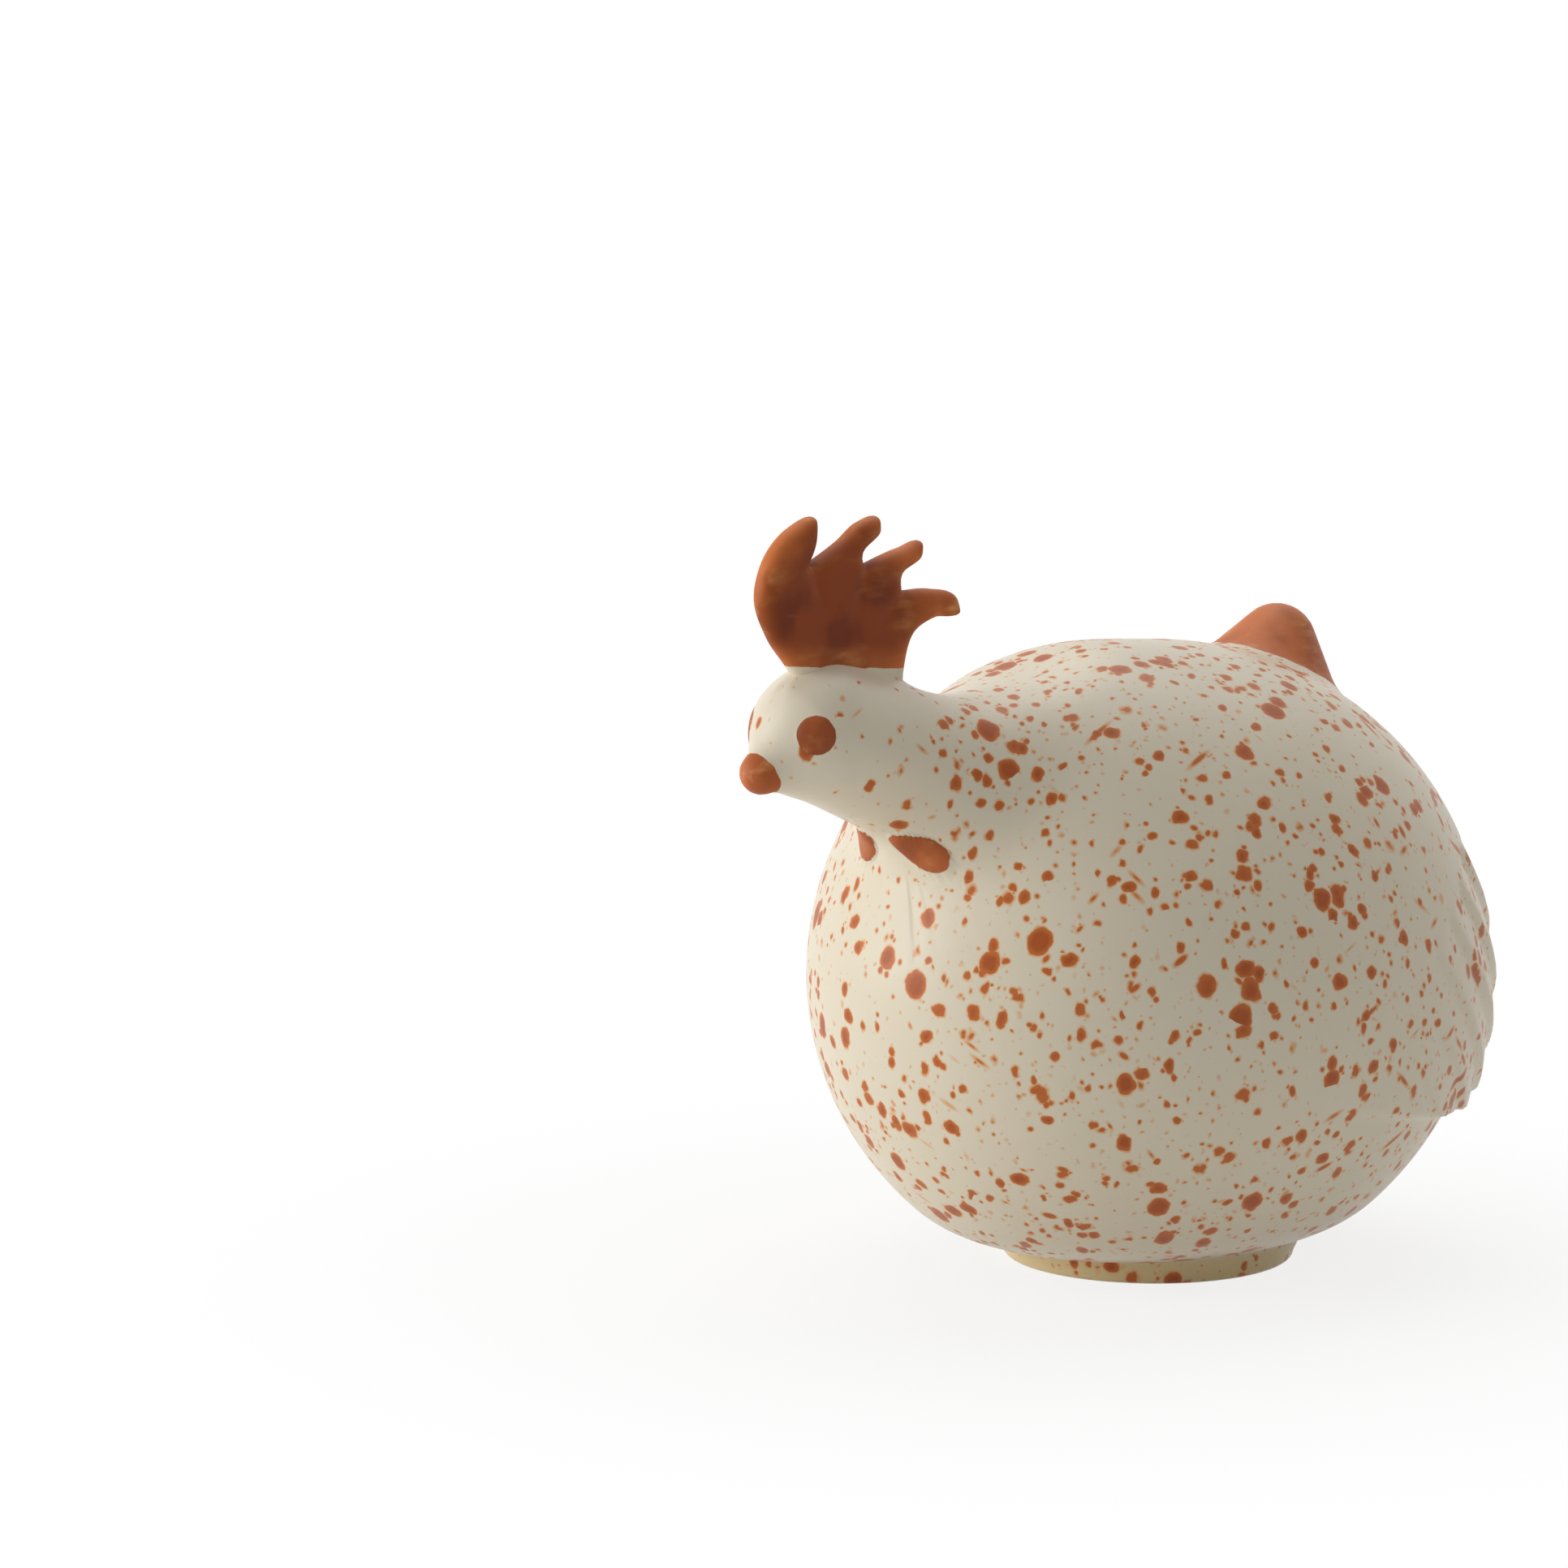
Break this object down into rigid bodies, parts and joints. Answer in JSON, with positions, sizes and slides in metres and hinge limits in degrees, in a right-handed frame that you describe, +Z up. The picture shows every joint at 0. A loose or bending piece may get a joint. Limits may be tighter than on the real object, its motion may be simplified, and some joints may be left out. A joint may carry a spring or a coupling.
{
  "type": "rooster statuette",
  "caption": "Hollow glazed stoneware rooster: a ball-like body on a foot ring, an upright comb, a short neck and beak, folded wings and a blunt upright tail.",
  "frame": {"origin": "On the ground, under the middle of the whole figure's bounding box, on its plane of symmetry.", "axes": "+Z is up, the bird faces -Y, and X runs across it."},
  "size_m": [0.1362, 0.1958, 0.1691],
  "materials": {
    "glaze": "satin cream glaze with rust-brown splatter and brushed rust-brown comb, tail, beak, eyes and wattles"
  },
  "bodies": {
    "root": {"rooster": "glaze"}
  },
  "joints": []
}
